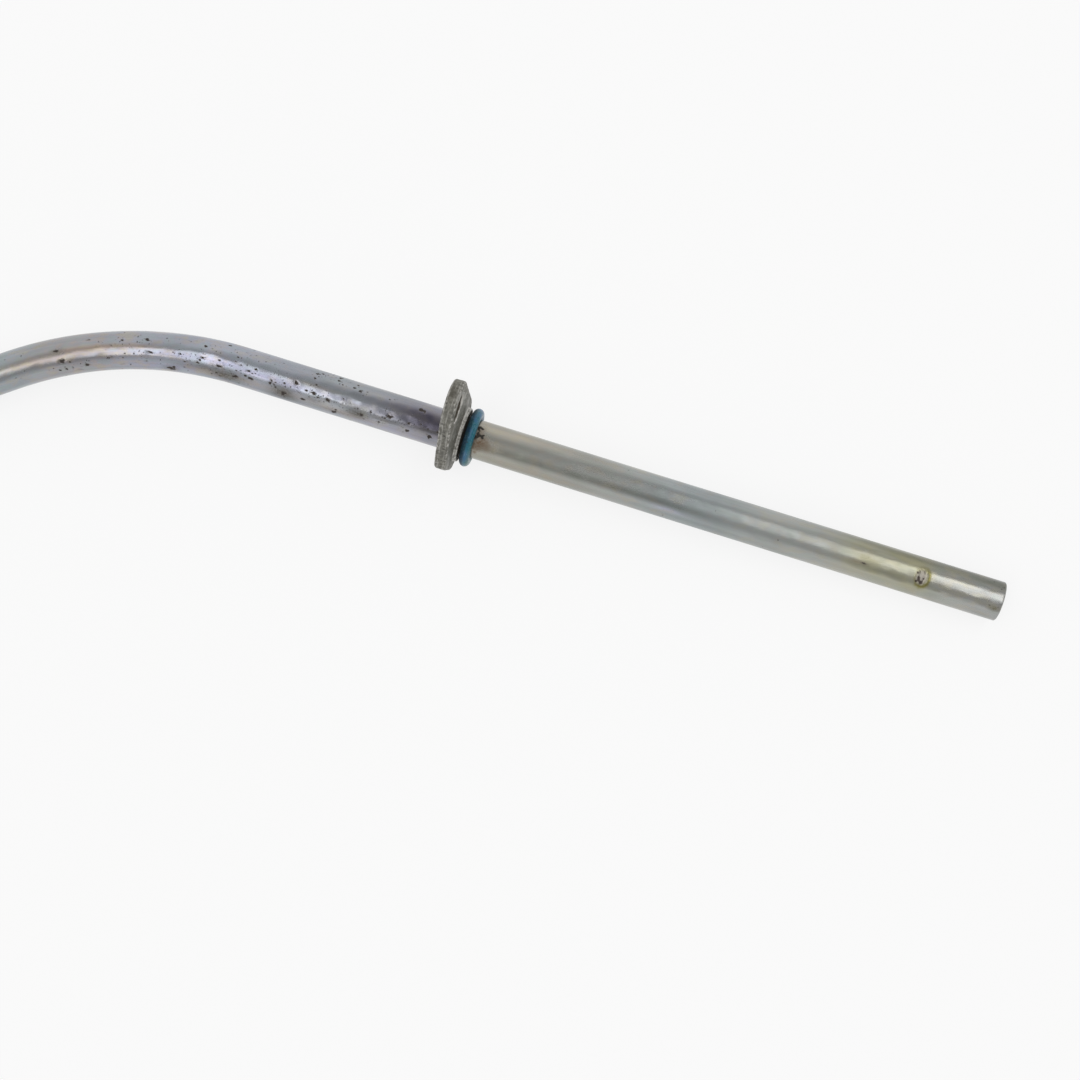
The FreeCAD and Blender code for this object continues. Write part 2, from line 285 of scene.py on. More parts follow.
class FlangeSizes(bpy.types.PropertyGroup):
    grain: bpy.props.FloatProperty(
        name="Mesh size", description="Size of the casting's mesh", default=0.0002, unit="LENGTH"
    )
    relief: bpy.props.FloatProperty(
        name="Relief", description="Height of the rough skin", default=0.00008, unit="LENGTH"
    )
    thickness: bpy.props.FloatProperty(
        name="Thickness", description="Thickness of the plate", default=0.003, unit="LENGTH"
    )


class RingSizes(bpy.types.PropertyGroup):
    cord: bpy.props.FloatProperty(
        name="Cord", description="Thickness of the rubber cord", default=0.0026, unit="LENGTH"
    )
    bite: bpy.props.FloatProperty(
        name="Bite",
        description="How far the cord is pressed flat on the tube",
        default=0.00003,
        unit="LENGTH",
    )
    offset: bpy.props.FloatProperty(
        name="Offset",
        description="Seat face to the middle of the ring",
        default=0.00295,
        unit="LENGTH",
    )


def colour(title, words, value):
    return bpy.props.FloatVectorProperty(
        name=title, description=words, default=value, size=3, min=0.0, max=1.0, subtype="COLOR"
    )


class Finishes(bpy.types.PropertyGroup):
    zinc: colour("Zinc", "Worn zinc plating on the tube", (0.375, 0.38, 0.385))
    zinc_dull: colour("Dull zinc", "Plating under a thin haze", (0.26, 0.265, 0.265))
    yellow_film: colour("Yellow film", "Dried oil near the lower end", (0.42, 0.40, 0.235))
    rust: colour("Rust", "Rust in the pits", (0.035, 0.026, 0.021))
    smudge: colour("Smudge", "Olive brown dried oil", (0.062, 0.054, 0.032))
    cast_steel: colour("Cast steel", "The flange's dull skin", (0.135, 0.13, 0.108))
    cast_worn: colour("Rubbed steel", "The flange's rubbed edges", (0.58, 0.565, 0.53))
    rubber: colour("Rubber", "The sealing ring", (0.004, 0.118, 0.17))
    rubber_worn: colour("Scuffed rubber", "Scuffed parts of the ring", (0.16, 0.27, 0.33))


class StudioSettings(bpy.types.PropertyGroup):
    floor: colour("Floor", "The floor's paint", (0.90, 0.90, 0.90))
    ambient: bpy.props.FloatProperty(
        name="Ambient", description="Soft light from all round", default=0.66
    )
    right_lamp: bpy.props.FloatProperty(
        name="Right lamp", description="Power of the right lamp in watts", default=7.6
    )
    left_lamp: bpy.props.FloatProperty(
        name="Left lamp", description="Power of the left lamp in watts", default=4.5
    )
    lens: bpy.props.FloatProperty(
        name="Lens", description="Focal length in mm on a 36 mm frame", default=59.09
    )


class DipstickTubeSettings(bpy.types.PropertyGroup):
    tube: bpy.props.PointerProperty(type=TubeSizes)
    flange: bpy.props.PointerProperty(type=FlangeSizes)
    ring: bpy.props.PointerProperty(type=RingSizes)
    finish: bpy.props.PointerProperty(type=Finishes)
    studio: bpy.props.PointerProperty(type=StudioSettings)


# Mesh helpers


def verts_of(result):
    return [item for item in result["geom"] if isinstance(item, bmesh.types.BMVert)]


def rim_edges_of(result):
    """The edges of the newest ring of an extrusion, without those that lead to it."""
    fresh = set(verts_of(result))
    return [
        item
        for item in result["geom"]
        if isinstance(item, bmesh.types.BMEdge) and all(vert in fresh for vert in item.verts)
    ]


def ring_places(first, stretches, last):
    """Ring places in metres from first to last, spaced as the stretches say."""
    places = []
    here = first
    for limit, step in stretches:
        limit = min(limit * MM, last)
        if limit <= here:
            continue
        count = max(1, round((limit - here) / (step * MM)))
        for index in range(1, count + 1):
            places.append(here + (limit - here) * index / count)
        here = limit
    if last - here > 1e-6:
        places.append(last)
    return places


def finish_mesh(bm, name, body="root"):
    """Makes a shown, smooth object at the origin from a bmesh that has its place in it."""
    mesh = bpy.data.meshes.new(name)
    bm.to_mesh(mesh)
    bm.free()
    mesh.polygons.foreach_set("use_smooth", [True] * len(mesh.polygons))
    mesh.update()
    piece = bpy.data.objects.new(name, mesh)
    bpy.context.scene.collection.objects.link(piece)
    return piece


def dress(piece, node, material):
    piece.data.materials.clear()
    piece.data.materials.append(material)
    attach(piece, "root")
    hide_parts(node)


# Tube


def straight_tube(sizes):
    """The tube before it is bent: rings drawn along X, back through the bore, and closed."""
    outer = sizes.diameter / 2
    bore = outer - sizes.wall
    top = -(sizes.neck + sizes.bend_radius * sizes.bend_angle + sizes.upper_run)
    bottom = sizes.spigot
    bm = bmesh.new()
    bmesh.ops.create_circle(
        bm,
        segments=sizes.facets,
        radius=outer,
        matrix=Matrix.Translation((top, 0, 0)) @ Matrix.Rotation(math.radians(90), 4, "Y"),
    )
    first = bm.edges[:]
    rim = first
    here = top
    for place in ring_places(top, OUTER_RINGS, bottom):
        result = bmesh.ops.extrude_edge_only(bm, edges=rim)
        bmesh.ops.translate(bm, verts=verts_of(result), vec=(place - here, 0, 0))
        rim = rim_edges_of(result)
        here = place
    result = bmesh.ops.extrude_edge_only(bm, edges=rim)
    bmesh.ops.scale(bm, verts=verts_of(result), vec=(1, bore / outer, bore / outer))
    rim = rim_edges_of(result)
    back = ring_places(top, BORE_RINGS, bottom)[:-1][::-1] + [top]
    for place in back:
        result = bmesh.ops.extrude_edge_only(bm, edges=rim)
        bmesh.ops.translate(bm, verts=verts_of(result), vec=(place - here, 0, 0))
        rim = rim_edges_of(result)
        here = place
    bmesh.ops.bridge_loops(bm, edges=first + rim)
    for radius, share in ((outer, 1.0), (bore, 0.5)):
        sharp = [
            edge
            for edge in bm.edges
            if all(
                min(abs(vert.co.x - top), abs(vert.co.x - bottom)) < 1e-6
                and abs(vert.co.yz.length - radius) < 1e-6
                for vert in edge.verts
            )
        ]
        bmesh.ops.bevel(
            bm,
            geom=sharp,
            offset=sizes.cut_round * share,
            segments=3,
            profile=0.5,
            affect="EDGES",
            material=-1,
        )
    bmesh.ops.recalc_face_normals(bm, faces=bm.faces[:])
    return bm


def bent(sizes, place):
    """Where a point of the straight tube goes once the tube is bent, in the seat's frame."""
    along, side, out = place
    arc = sizes.bend_radius * sizes.bend_angle
    past = -sizes.neck - along
    if past <= 0:
        return Vector((along, side, out))
    share = min(past / arc, 1.0)
    ease = math.sin(math.pi * share) ** 2
    half = sizes.diameter / 2
    side *= 1 - sizes.squeeze * ease / half
    out *= 1 + sizes.swell * ease / half
    turn = sizes.bend_angle * share
    run = max(past - arc, 0.0)
    reach = sizes.bend_radius + side
    return Vector(
        (
            -sizes.neck - reach * math.sin(turn) - run * math.cos(turn),
            -sizes.bend_radius + reach * math.cos(turn) - run * math.sin(turn),
            out,
        )
    )


def turn_between(angle, middle):
    """Degrees from middle to angle, the short way round."""
    return (angle - middle + 180) % 360 - 180


def blot(along, angle, marks):
    """How strongly a set of soft round patches covers a place, from 0 to 1."""
    clear = 1.0
    for place, middle, long_spread, round_spread, strength in marks:
        offset = (along - place) / long_spread
        if abs(offset) > 2.6:
            continue
        swing = turn_between(angle, middle) / round_spread
        clear *= 1 - strength * math.exp(-(offset**2 + swing**2))
    return 1 - clear


def stroke_cover(along, angle, half):
    """How strongly the dried grease covers a place, from 0 to 1."""
    most = 0.0
    if not 3.5 < along < 9.0:
        return most
    here = Vector((along, math.radians(angle) * half))
    for points, width in GREASE:
        path = [Vector((place, math.radians(turn) * half)) for place, turn in points]
        for first, last in zip(path, path[1:]):
            step = last - first
            share = max(0.0, min(1.0, (here - first).dot(step) / step.length_squared))
            gap = (here - first - step * share).length
            most = max(most, 1 - gap / (width * 1.5))
    return max(0.0, most)


def crater(along, angle, half):
    """The small welded-over crater near the lower end: height, skin, rim and dark grooves."""
    ahead = along - 120.0
    across = math.radians(turn_between(angle, 0.0)) * half
    if abs(ahead) > 4.5 or abs(across) > 5.0:
        return 0.0, 0.0, 0.0, 0.0
    ripple = 0.13 * noise.noise(Vector((ahead, across, 4.0)) * 1.1)
    inside = 1 / (1 + math.exp((math.hypot(ahead / 1.45, across / 2.05) + ripple - 0.95) * 8))
    edge = math.hypot((ahead - 0.25) / 1.66, (across + 0.05) / 2.35) + ripple
    rim = math.exp(-(((edge - 1.04) / 0.26) ** 2))
    swirl = ahead + 0.13 * across**2 + 0.35 * noise.noise(Vector((ahead, across * 0.6, 9.0)))
    ridges = math.cos(swirl * 2 * math.pi / 1.0)
    grooves = inside * max(0.0, -ridges) * (0.6 + 0.8 * noise.noise(Vector((ahead, across, 1.0))))
    for place, up, radius in (
        (-0.55, -0.35, 0.36),
        (-0.40, -0.95, 0.34),
        (0.25, -1.35, 0.46),
        (-0.95, -1.30, 0.30),
        (-1.15, 0.85, 0.26),
        (0.60, -0.30, 0.22),
    ):
        gap = math.hypot(ahead - place, across - up) / radius
        grooves = max(grooves, math.exp(-(gap**2)))
    rim *= 0.35 + 0.65 / (1 + math.exp(-(ahead * 1.6 - across * 0.9)))
    height = inside * (0.05 * ridges - 0.05) + 0.06 * rim - 0.09 * grooves
    return height, inside, rim, min(1.0, grooves)


def tube_piece(sizes, material):
    bm = straight_tube(sizes)
    straight = bm.verts.layers.float_vector.new("unbent")
    layers = {
        name: bm.verts.layers.float.new(name)
        for name in (
            "rust",
            "pit",
            "smudge",
            "grease_and_gap_shade",
            "dull_and_shade",
            "warm",
            "lilac_and_highlight",
            "crater",
            "crater_rim",
            "groove",
            "bore",
        )
    }
    chance = random.Random(41)
    pits = list(PITS)
    for place, middle, long_spread, round_spread, strength in RUST_PATCHES:
        for _ in range(round(strength * 13) if place < 0 else 0):
            pits.append(
                (
                    place + chance.gauss(0, long_spread * 0.7),
                    middle + chance.gauss(0, round_spread * 0.7),
                    chance.uniform(0.18, 0.38),
                    chance.uniform(0.02, 0.05),
                )
            )
    near = {}
    for pit in pits:
        if -0.8 < pit[0] < 40:
            continue
        for step in (-1, 0, 1):
            near.setdefault(round(pit[0]) + step, []).append(pit)
    half = sizes.diameter / 2 / MM
    for vert in bm.verts:
        place = vert.co.copy()
        vert[straight] = place
        along = place.x / MM
        reach = place.yz.length / MM
        angle = math.degrees(math.atan2(place.y, place.z))
        drop = 0.0
        if reach > half - 0.32:
            arc = math.radians(angle) * half
            vert[layers["rust"]] = blot(along, angle, RUST_PATCHES)
            vert[layers["smudge"]] = blot(along, angle, SMUDGES)
            vert[layers["dull_and_shade"]] = blot(along, angle, DULL_AND_SHADE_PATCHES)
            vert[layers["warm"]] = blot(along, angle, WARM_PATCHES)
            vert[layers["lilac_and_highlight"]] = blot(along, angle, LILAC_AND_HIGHLIGHT_PATCHES)
            # Painted shade: from the seat face to under the ring the tube is painted black in the grease
            # layer, for the shadowed gap between collar and ring.
            gap_shade_zone = 0.3 < along < 3.2
            vert[layers["grease_and_gap_shade"]] = 1.0 if gap_shade_zone else stroke_cover(along, angle, half)
            deepest = 0.0
            for pit_place, middle, radius, depth in near.get(round(along), ()):
                ahead = along - pit_place
                if abs(ahead) > radius * 2:
                    continue
                across = math.radians(turn_between(angle, middle)) * half
                if abs(across) > radius * 2:
                    continue
                uneven = 1.1 * noise.noise(Vector((along * 1.5, arc * 1.5, middle)))
                gap = math.hypot(ahead * 0.8, across * 1.15) / radius + uneven
                amount = max(0.0, min(1.0, 1.45 - gap * 1.1))
                drop = max(drop, depth * amount)
                deepest = max(deepest, amount)
            vert[layers["pit"]] = deepest
            height, inside, rim, grooves = crater(along, angle, half)
            vert[layers["crater"]] = inside
            vert[layers["crater_rim"]] = rim
            vert[layers["groove"]] = grooves
            wave = noise.noise(Vector((along * 0.02, place.y / MM * 0.35, place.z / MM * 0.35)))
            drop -= height + 0.006 * wave
            share = 1 - drop / reach
            place.y *= share
            place.z *= share
        elif half - reach > 0.85:
            vert[layers["bore"]] = 1.0
        vert.co = SEAT @ bent(sizes, place)
    bmesh.ops.recalc_face_normals(bm, faces=bm.faces[:])
    piece = finish_mesh(bm, "guide_tube_plated")
    dress(piece, "guide_tube", material)
    return piece


# Flange


def remeshed(bm, cell, name):
    """A closed copy of a bmesh with even small faces, as a new bmesh."""
    mesh = bpy.data.meshes.new(name)
    bm.to_mesh(mesh)
    bm.free()
    holder = bpy.data.objects.new(name, mesh)
    bpy.context.scene.collection.objects.link(holder)
    skin = holder.modifiers.new("skin", "REMESH")
    skin.mode = "VOXEL"
    skin.voxel_size = cell
    bpy.context.view_layer.update()
    graph = bpy.context.evaluated_depsgraph_get()
    made = bpy.data.meshes.new_from_object(holder.evaluated_get(graph))
    fresh = bmesh.new()
    fresh.from_mesh(made)
    bpy.data.objects.remove(holder)
    bpy.data.meshes.remove(mesh)
    bpy.data.meshes.remove(made)
    return fresh


def cast_relief(place):
    """Height of the rough skin at a place in mm, from about -1 to 1."""
    coarse = noise.fractal(place * 0.55, 1.0, 2.0, 3)
    grain = noise.noise(place * 2.1)
    drawn = noise.noise(Vector((place.x * 2.6, place.y * 0.35, place.z * 0.35)))
    return 0.45 * coarse + 0.35 * grain + 0.45 * drawn


def flange_piece(sizes, tube_sizes, material):
    bm = bmesh.new()
    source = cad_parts["flange"]
    bm.from_mesh(source.data)
    bmesh.ops.transform(bm, matrix=source.matrix_world, verts=bm.verts[:])
    bmesh.ops.remove_doubles(bm, verts=bm.verts[:], dist=1e-6)
    bmesh.ops.transform(bm, matrix=SEAT.inverted(), verts=bm.verts[:])
    bm = remeshed(bm, sizes.grain, "flange_skin")
    bmesh.ops.smooth_vert(bm, verts=bm.verts[:], factor=0.5, use_axis_x=True, use_axis_y=True, use_axis_z=True)
    bm.normal_update()
    straight = bm.verts.layers.float_vector.new("unbent")
    worn = bm.verts.layers.float.new("worn")
    smudge = bm.verts.layers.float.new("smudge")
    # How far each vertex stands out from its neighbours, spread a little: the rubbed edges.
    bulge = {}
    for vert in bm.verts:
        middle = Vector((0, 0, 0))
        for edge in vert.link_edges:
            middle += edge.other_vert(vert).co
        middle /= len(vert.link_edges)
        bulge[vert] = (vert.co - middle).dot(vert.normal) / sizes.grain
    for _ in range(3):
        bulge = {
            vert: (bulge[vert] + sum(bulge[edge.other_vert(vert)] for edge in vert.link_edges))
            / (1 + len(vert.link_edges))
            for vert in bm.verts
        }
    moves = []
    for vert in bm.verts:
        place = vert.co / MM
        vert[straight] = vert.co
        from_hole = math.hypot(place.y - 5.9, place.z - 19.8)
        # The bolt hole's rim is painted light in the worn layer, more on one side: partly rubbed edge, partly
        # painted highlight.
        hole_rim_wear_and_highlight = math.exp(-(((from_hole - 3.85) / 0.2) ** 2)) * (0.4 + 0.6 * (place.y > 6.5))
        collar = 0.75 if place.x > 0.12 and place.yz.length > 6.75 else 0.0
        vert[worn] = max(2.4 * hole_rim_wear_and_highlight, collar, min(1.0, bulge[vert] * 9))
        rim_patch = math.exp(-(((place.y - 9.0) / 1.6) ** 2) - ((place.x + 2.0) / 1.3) ** 2)
        rust = math.exp(-(((place.y + 2.6) / 1.4) ** 2) - ((place.x - 0.9) / 0.7) ** 2)
        near_tube = math.exp(-((max(0.0, place.yz.length - 5.2) / 0.9) ** 2))
        # Painted shade: inside the bolt hole and on the collar's face toward the ring, the smudge layer is set
        # full.
        shaded = 1.35 if from_hole < 3.62 or place.x > 1.0 else 0.0
        vert[smudge] = max(
            0.7 * rim_patch * (place.z > 9), rust * (place.z > 0), 0.8 * near_tube, shaded
        )
        seated = abs(place.yz.length - 5.0) < 0.25
        height = 0.0 if seated else sizes.relief * cast_relief(place)
        moves.append((vert, vert.co + vert.normal * height))
    for vert, goal in moves:
        vert.co = goal
    bmesh.ops.transform(bm, matrix=SEAT, verts=bm.verts[:])
    bmesh.ops.recalc_face_normals(bm, faces=bm.faces[:])
    piece = finish_mesh(bm, "flange_casting")
    dress(piece, "flange", material)
    return piece


# Sealing ring


def ring_piece(sizes, tube_sizes, material):
    cord = sizes.cord / 2
    seat = tube_sizes.diameter / 2
    reach = seat + cord - sizes.bite
    bm = bmesh.new()
    bmesh.ops.create_circle(
        bm,
        segments=44,
        radius=cord,
        matrix=Matrix.Translation((sizes.offset, 0, reach))
        @ Matrix.Rotation(math.radians(90), 4, "X"),
    )
    for vert in bm.verts:
        vert.co.z = max(vert.co.z, seat)
        # a fine flash line left by the two halves of the mould
        if vert.co.z > reach + cord * 0.995:
            vert.co.z += 0.00003
    bmesh.ops.spin(
        bm,
        geom=bm.verts[:] + bm.edges[:],
        cent=(0, 0, 0),
        axis=(1, 0, 0),
        angle=math.radians(360),
        steps=260,
        use_merge=True,
        use_duplicate=False,
    )
    bmesh.ops.remove_doubles(bm, verts=bm.verts[:], dist=1e-6)
    bmesh.ops.recalc_face_normals(bm, faces=bm.faces[:])
    bm.normal_update()
    straight = bm.verts.layers.float_vector.new("unbent")
    smudge = bm.verts.layers.float.new("smudge")
    worn = bm.verts.layers.float.new("worn")
    painted_gap_shade = bm.verts.layers.float.new("painted_gap_shade")
    for vert in bm.verts:
        place = vert.co / MM
        vert[straight] = vert.co
        low = max(0.0, place.x - 3.2) / 1.1 * max(0.0, 0.6 - place.y / 6.0)
        vert[smudge] = min(1.0, low)
        # Painted shade: the ring's flank toward the collar, where the gap between them lies in shadow, is
        # darkened.
        vert[painted_gap_shade] = max(0.0, min(1.0, (3.1 - place.x) / 0.5))
        out = max(0.0, (place.yz.length - 6.3) / 1.3)
        vert[worn] = max(0.0, min(1.0, out * (0.5 + noise.noise(place * 0.6))))
        if place.yz.length > seat / MM + 0.1:
            nick = max(0.0, noise.noise(place * 1.15 + Vector((5, 2, 7))) - 0.42)
            ripple = 0.012 * noise.noise(place * 0.5)
            vert.co += vert.normal * (ripple - 0.16 * nick) * MM
    bmesh.ops.transform(bm, matrix=SEAT, verts=bm.verts[:])
    piece = finish_mesh(bm, "sealing_ring_rubber")
    dress(piece, "sealing_ring", material)
    return piece


# Shader helpers


def put(tree, kind, inputs=None, **settings):
    """Adds a node, sets it, and feeds its inputs from values or from other nodes' sockets."""
    made = tree.nodes.new(kind)
    for name, value in settings.items():
        setattr(made, name, value)
    for key, value in (inputs or {}).items():
        if isinstance(value, bpy.types.NodeSocket):
            tree.links.new(value, made.inputs[key])
        else:
            made.inputs[key].default_value = value
    return made


def attribute(tree, name, output="Fac"):
    return put(tree, "ShaderNodeAttribute", attribute_name=name).outputs[output]


def calc(tree, operation, first, second=0.0, third=0.0, clamp=False):
    made = put(
        tree,
        "ShaderNodeMath",
        {0: first, 1: second, 2: third},
        operation=operation,
        use_clamp=clamp,
    )
    return made.outputs[0]


def mix(tree, amount, first, second, blend="MIX"):
    made = put(
        tree,
        "ShaderNodeMix",
        {0: amount, 6: first, 7: second},
        data_type="RGBA",
        blend_type=blend,
    )
    return made.outputs[2]


def blend(tree, amount, first, second):
    made = put(tree, "ShaderNodeMix", {0: amount, 2: first, 3: second}, data_type="FLOAT")
    return made.outputs[0]


def span(tree, value, low, high, to_low=0.0, to_high=1.0, smooth=True):
    made = put(
        tree,
        "ShaderNodeMapRange",
        {0: value, 1: low, 2: high, 3: to_low, 4: to_high},
        interpolation_type="SMOOTHSTEP" if smooth else "LINEAR",
        clamp=True,
    )
    return made.outputs[0]


def ramp(tree, value, stops, interpolation="EASE"):
    made = put(tree, "ShaderNodeValToRGB", {0: value})
    made.color_ramp.interpolation = interpolation
    marks = made.color_ramp.elements
    while len(marks) < len(stops):
        marks.new(0.5)
    for mark, (place, shade) in zip(marks, stops):
        mark.position = place
        mark.color = (*shade, 1.0)
    return made.outputs[0]


def rgba(value):
    return (value[0], value[1], value[2], 1.0)


def new_group(name, inputs, outputs):
    """A shader node group with plain number or vector inputs and outputs."""
    group = bpy.data.node_groups.new(name, "ShaderNodeTree")
    for title, kind, value in inputs:
        socket = group.interface.new_socket(title, in_out="INPUT", socket_type=kind)
        if value is not None:
            socket.default_value = value
    for title, kind in outputs:
        group.interface.new_socket(title, in_out="OUTPUT", socket_type=kind)
    start = group.nodes.new("NodeGroupInput")
    end = group.nodes.new("NodeGroupOutput")
    return group, start.outputs, end.inputs


def use_group(tree, group, inputs):
    return put(tree, "ShaderNodeGroup", inputs, node_tree=group).outputs


def clouding_group():
    """Soft uneven patches between two levels of a stretched noise."""
    group, given, result = new_group(
        "Clouding",
        (
            ("Vector", "NodeSocketVector", None),
            ("Stretch", "NodeSocketVector", (1.0, 1.0, 1.0)),
            ("Scale", "NodeSocketFloat", 0.2),
            ("Detail", "NodeSocketFloat", 3.0),
            ("Low", "NodeSocketFloat", 0.4),
            ("High", "NodeSocketFloat", 0.6),
        ),
        (("Mask", "NodeSocketFloat"), ("Value", "NodeSocketFloat")),
    )
    moved = put(
        group, "ShaderNodeVectorMath", {0: given["Vector"], 1: given["Stretch"]}, operation="MULTIPLY"
    )
    pattern = put(
        group,
        "ShaderNodeTexNoise",
        {
            "Vector": moved.outputs[0],
            "Scale": given["Scale"],
            "Detail": given["Detail"],
            "Roughness": 0.55,
        },
    )
    mask = put(
        group,
        "ShaderNodeMapRange",
        {0: pattern.outputs[0], 1: given["Low"], 2: given["High"], 3: 0.0, 4: 1.0},
        interpolation_type="SMOOTHSTEP",
    )
    group.links.new(mask.outputs[0], result["Mask"])
    group.links.new(pattern.outputs[0], result["Value"])
    return group


def specks_group():
    """Ragged specks, such as rust or dirt: where they are and how deep they lie."""
    group, given, result = new_group(
        "Specks",
        (
            ("Vector", "NodeSocketVector", None),
            ("Scale", "NodeSocketFloat", 1.0),
            ("Crowding", "NodeSocketFloat", 0.3),
            ("Size", "NodeSocketFloat", 0.35),
            ("Raggedness", "NodeSocketFloat", 0.3),
        ),
        (("Mask", "NodeSocketFloat"), ("Depth", "NodeSocketFloat")),
    )
    wobble = put(
        group,
        "ShaderNodeTexNoise",
        {"Vector": given["Vector"], "Scale": 2.6, "Detail": 2.0, "Roughness": 0.6},
    )
    pushed = put(
        group,
        "ShaderNodeVectorMath",
        {0: wobble.outputs["Color"], 3: given["Raggedness"]},
        operation="SCALE",
    )
    place = put(
        group, "ShaderNodeVectorMath", {0: given["Vector"], 1: pushed.outputs[0]}, operation="ADD"
    )
    cells = put(
        group, "ShaderNodeTexVoronoi", {"Vector": place.outputs[0], "Scale": given["Scale"]}
    )
    parts = put(group, "ShaderNodeSeparateColor", {0: cells.outputs["Color"]})
    radius = calc(group, "MULTIPLY", given["Size"], span(group, parts.outputs[1], 0.0, 1.0, 0.45, 1.0))
    inner = calc(group, "MULTIPLY", radius, 0.55)
    disc = put(
        group,
        "ShaderNodeMapRange",
        {0: cells.outputs["Distance"], 1: radius, 2: inner, 3: 0.0, 4: 1.0},
        interpolation_type="SMOOTHSTEP",
    )
    here = calc(group, "LESS_THAN", parts.outputs[0], given["Crowding"])
    mask = calc(group, "MULTIPLY", disc.outputs[0], here)
    group.links.new(mask, result["Mask"])
    group.links.new(calc(group, "MULTIPLY", mask, -1.0), result["Depth"])
    return group


def new_material(name):
    material = bpy.data.materials.new(name)
    material.use_nodes = True
    tree = material.node_tree
    tree.nodes.clear()
    end = put(tree, "ShaderNodeOutputMaterial")
    return material, tree, end


def in_millimetres(tree):
    """The piece's own unbent coordinates in mm, as an attribute of its mesh."""
    place = attribute(tree, "unbent", "Vector")
    return put(tree, "ShaderNodeVectorMath", {0: place, 3: 1000.0}, operation="SCALE").outputs[0]


# Finishes


def zinc_material(finish, clouding, specks):
    material, tree, end = new_material("Worn zinc plating")
    place = in_millimetres(tree)
    parts = put(tree, "ShaderNodeSeparateXYZ", {0: place}).outputs

    def cloud(stretch, scale, low, high, detail=3.0):
        return use_group(
            tree,
            clouding,
            {
                "Vector": place,
                "Stretch": stretch,
                "Scale": scale,
                "Detail": detail,
                "Low": low,
                "High": high,
            },
        )

    broad = cloud((0.5, 1.0, 1.0), 0.10, 0.35, 0.68)
    patchy = cloud((0.6, 1.0, 1.0), 0.45, 0.38, 0.66, 4.0)
    drawn = cloud((0.03, 1.0, 1.0), 1.1, 0.35, 0.7, 4.0)
    hair = cloud((0.06, 1.0, 1.0), 5.0, 0.45, 0.75, 2.0)
    speckle = cloud((1.0, 1.0, 1.0), 4.5, 0.5, 0.75, 3.0)
    wave = cloud((0.55, 1.0, 1.0), 0.30, 0.4, 0.6, 1.0)

    # The plating's tint along the tube, from the upper mouth to the lower end.
    spot = span(tree, parts[0], -202.0, 141.0, smooth=False)
    wander = calc(tree, "MULTIPLY", calc(tree, "SUBTRACT", patchy[1], 0.5), 0.05)
    tint = ramp(
        tree,
        calc(tree, "ADD", spot, wander),
        (
            (0.00, (0.93, 0.98, 1.00)),
            (0.24, (0.95, 0.99, 0.99)),
            (0.29, (1.00, 0.95, 0.92)),
            (0.35, (0.99, 0.99, 1.04)),
            (0.42, (1.04, 1.06, 1.14)),
            (0.46, (1.02, 1.04, 1.11)),
            (0.50, (0.97, 1.00, 1.03)),
            # the dip here, just above the flange, is painted shade of the flange on the tube
            (0.575, (0.87, 0.85, 0.92)),
            (0.60, (1.05, 1.01, 0.87)),
            (0.69, (1.03, 1.02, 0.93)),
            (0.77, (0.97, 1.02, 1.00)),
            (0.84, (1.02, 1.03, 0.95)),
            (0.93, (1.05, 1.03, 0.88)),
            (1.00, (1.03, 1.02, 0.95)),
        ),
    )
    base = mix(tree, calc(tree, "MULTIPLY", broad[0], 0.45), rgba(finish.zinc), rgba(finish.zinc_dull))
    base = mix(tree, 1.0, base, tint, "MULTIPLY")
    base = mix(tree, calc(tree, "MULTIPLY", drawn[0], 0.16), base, (0.55, 0.55, 0.56, 1), "MULTIPLY")

    # Thin colours of heat and chromate: gold, rose, lilac and pale blue.
    film = ramp(
        tree,
        calc(tree, "ADD", patchy[1], calc(tree, "MULTIPLY", broad[1], 0.35)),
        (
            (0.42, (1.00, 1.00, 1.00)),
            (0.52, (1.08, 1.02, 0.86)),
            (0.60, (1.04, 0.97, 0.97)),
            (0.68, (0.95, 0.98, 1.08)),
            (0.78, (0.92, 1.03, 1.05)),
            (0.90, (1.00, 1.00, 1.00)),
        ),
    )
    left = span(tree, parts[0], -30.0, -80.0)
    film_amount = calc(tree, "ADD", calc(tree, "MULTIPLY", left, 0.35), 0.35)
    base = mix(tree, film_amount, base, film, "MULTIPLY")
    warm = calc(tree, "MULTIPLY", attribute(tree, "warm"), blend(tree, 0.5, patchy[0], 1.0))
    base = mix(tree, warm, base, (1.26, 1.00, 0.76, 1), "MULTIPLY")
    # Lilac tint that brightens the plating along the lamp's highlight: partly a real tint, partly painted
    # highlight.
    lilac_and_highlight = calc(tree, "MULTIPLY", attribute(tree, "lilac_and_highlight"), blend(tree, 0.6, patchy[0], 1.0))
    base = mix(tree, lilac_and_highlight, base, (1.24, 1.17, 1.40, 1), "MULTIPLY")

    # Yellow oil film round the last third of the lower run.
    yellow_zone = calc(
        tree, "MULTIPLY", span(tree, parts[0], 93.0, 108.0), span(tree, parts[0], 125.0, 118.0)
    )
    yellow_patch = cloud((0.35, 1.0, 1.0), 0.33, 0.36, 0.60, 4.0)
    facing = span(tree, calc(tree, "ADD", parts[1], -0.6), 4.6, 2.4)
    under = span(tree, parts[1], -4.6, -2.4)
    above = calc(tree, "MULTIPLY", facing, under)
    yellow_zone = calc(tree, "MULTIPLY", yellow_zone, blend(tree, above, 0.22, 1.0))
    yellow = calc(tree, "MULTIPLY", yellow_zone, blend(tree, 0.45, yellow_patch[0], 1.0))
    base = mix(tree, calc(tree, "MULTIPLY", yellow, 0.58), base, rgba(finish.yellow_film))

